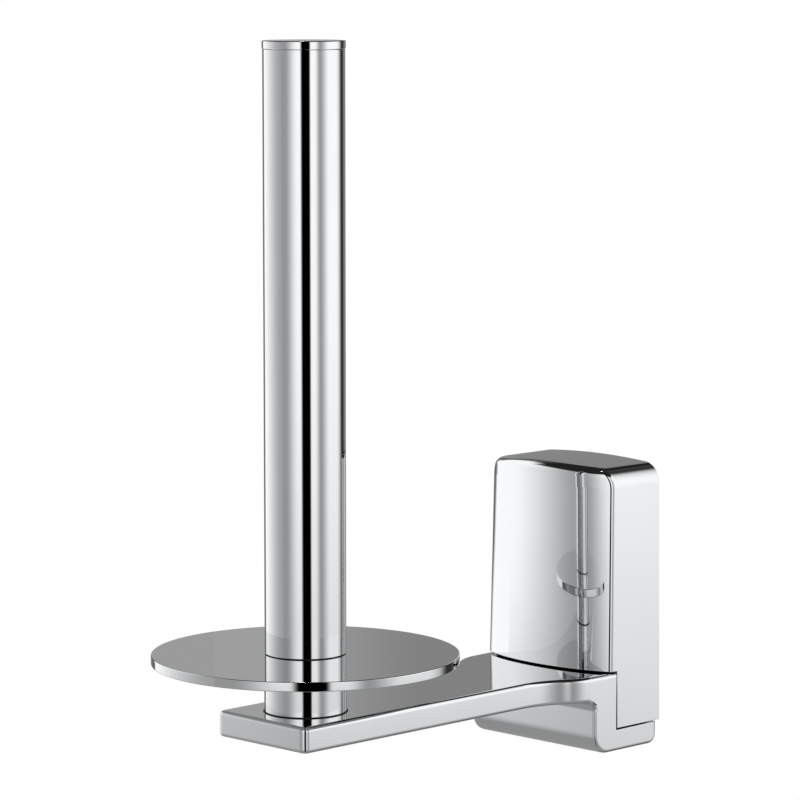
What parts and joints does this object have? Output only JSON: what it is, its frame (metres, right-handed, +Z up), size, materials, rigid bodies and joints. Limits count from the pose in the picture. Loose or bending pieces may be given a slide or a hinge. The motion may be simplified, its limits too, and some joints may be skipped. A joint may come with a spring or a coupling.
{
  "type": "toilet roll holder",
  "caption": "Upright toilet roll holder for the wall: a capped round post and a round disc on a flat arm, with a lift-off cover over the wall bracket.",
  "frame": {"origin": "middle of the wall bracket's flat back face, which lies on the wall", "axes": "+X to the right along the wall, +Y into the wall, +Z up along the post"},
  "size_m": [0.0832, 0.1592, 0.2026],
  "materials": {
    "polished_chrome": "mirror-polished chrome plating",
    "bare_casting": "matt die-cast zinc, as cast",
    "screw_steel": "plain stainless steel",
    "turned_brass": "turned brass",
    "black_rubber": "matt black rubber"
  },
  "bodies": {
    "holder": {"wall_bracket": "bare_casting", "arm": "polished_chrome", "arm_screw_left": "screw_steel", "arm_screw_right": "screw_steel", "spring_washer_left": "screw_steel", "spring_washer_right": "screw_steel", "cover_clip_left": "screw_steel", "cover_clip_right": "screw_steel", "clip_rivet_left": "screw_steel", "clip_rivet_right": "screw_steel", "arm_gasket": "black_rubber", "spacer_collar": "polished_chrome", "roll_disc": "polished_chrome", "disc_gasket": "black_rubber", "post_plug": "turned_brass", "post_tube": "polished_chrome", "top_cap": "polished_chrome", "cap_o_ring": "black_rubber", "post_bolt": "screw_steel"},
    "cover": {"cover": "polished_chrome"}
  },
  "joints": [
    {"name": "cover_lift", "type": "slide", "parent": "holder", "child": "cover", "axis": [0, 0, 1], "range_m": [0, 0.068]}
  ]
}
